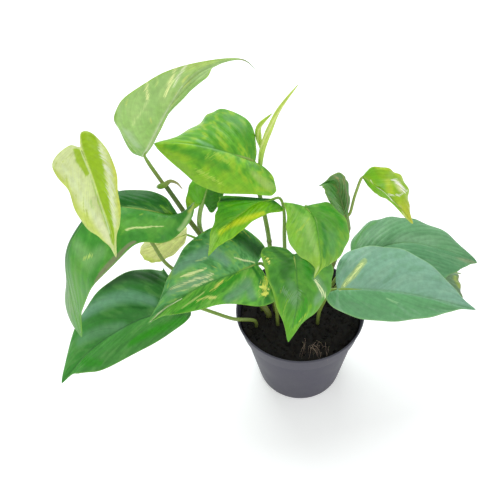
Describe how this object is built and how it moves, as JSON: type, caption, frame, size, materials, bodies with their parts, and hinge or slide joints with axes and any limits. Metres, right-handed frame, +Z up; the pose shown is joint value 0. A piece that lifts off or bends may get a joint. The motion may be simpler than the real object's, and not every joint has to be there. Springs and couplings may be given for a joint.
{
  "type": "potted pothos",
  "caption": "Potted pothos: heart-shaped variegated leaves on petioles and short stems, growing from soil in a round tapered nursery pot.",
  "frame": {"origin": "middle of the pot's base, on the surface it stands on", "axes": "+Z up along the pot's axis, -Y towards the front, +X to the right"},
  "size_m": [0.4029, 0.1381, 0.3478],
  "materials": {
    "pot": "satin",
    "soil": "matte",
    "leaf_top_arch": "satin",
    "leaf_pale_folded": "satin",
    "leaf_left_arch": "satin",
    "leaf_low_left": "satin",
    "leaf_pale_behind": "satin",
    "leaf_upper_heart": "satin",
    "leaf_under_heart": "satin",
    "leaf_behind_small": "satin",
    "leaf_front_mottled": "satin",
    "leaf_front_centre": "satin",
    "leaf_centre_right": "satin",
    "leaf_small_dark": "satin",
    "leaf_young_right": "satin",
    "leaf_right_back": "satin",
    "leaf_right_hidden": "satin",
    "leaf_right_front": "satin",
    "leaf_rolled_new": "satin",
    "leaf_narrow_new": "satin",
    "stem_left": "satin",
    "stem_centre": "satin",
    "stem_right": "satin"
  },
  "bodies": {
    "root": {"pot": "pot", "soil": "soil", "leaf_top_arch": "leaf_top_arch", "leaf_pale_folded": "leaf_pale_folded", "leaf_left_arch": "leaf_left_arch", "leaf_low_left": "leaf_low_left", "leaf_pale_behind": "leaf_pale_behind", "leaf_upper_heart": "leaf_upper_heart", "leaf_under_heart": "leaf_under_heart", "leaf_behind_small": "leaf_behind_small", "leaf_front_mottled": "leaf_front_mottled", "leaf_front_centre": "leaf_front_centre", "leaf_centre_right": "leaf_centre_right", "leaf_small_dark": "leaf_small_dark", "leaf_young_right": "leaf_young_right", "leaf_right_back": "leaf_right_back", "leaf_right_hidden": "leaf_right_hidden", "leaf_right_front": "leaf_right_front", "leaf_rolled_new": "leaf_rolled_new", "leaf_narrow_new": "leaf_narrow_new", "stem_left": "stem_left", "stem_centre": "stem_centre", "stem_right": "stem_right"}
  },
  "joints": []
}
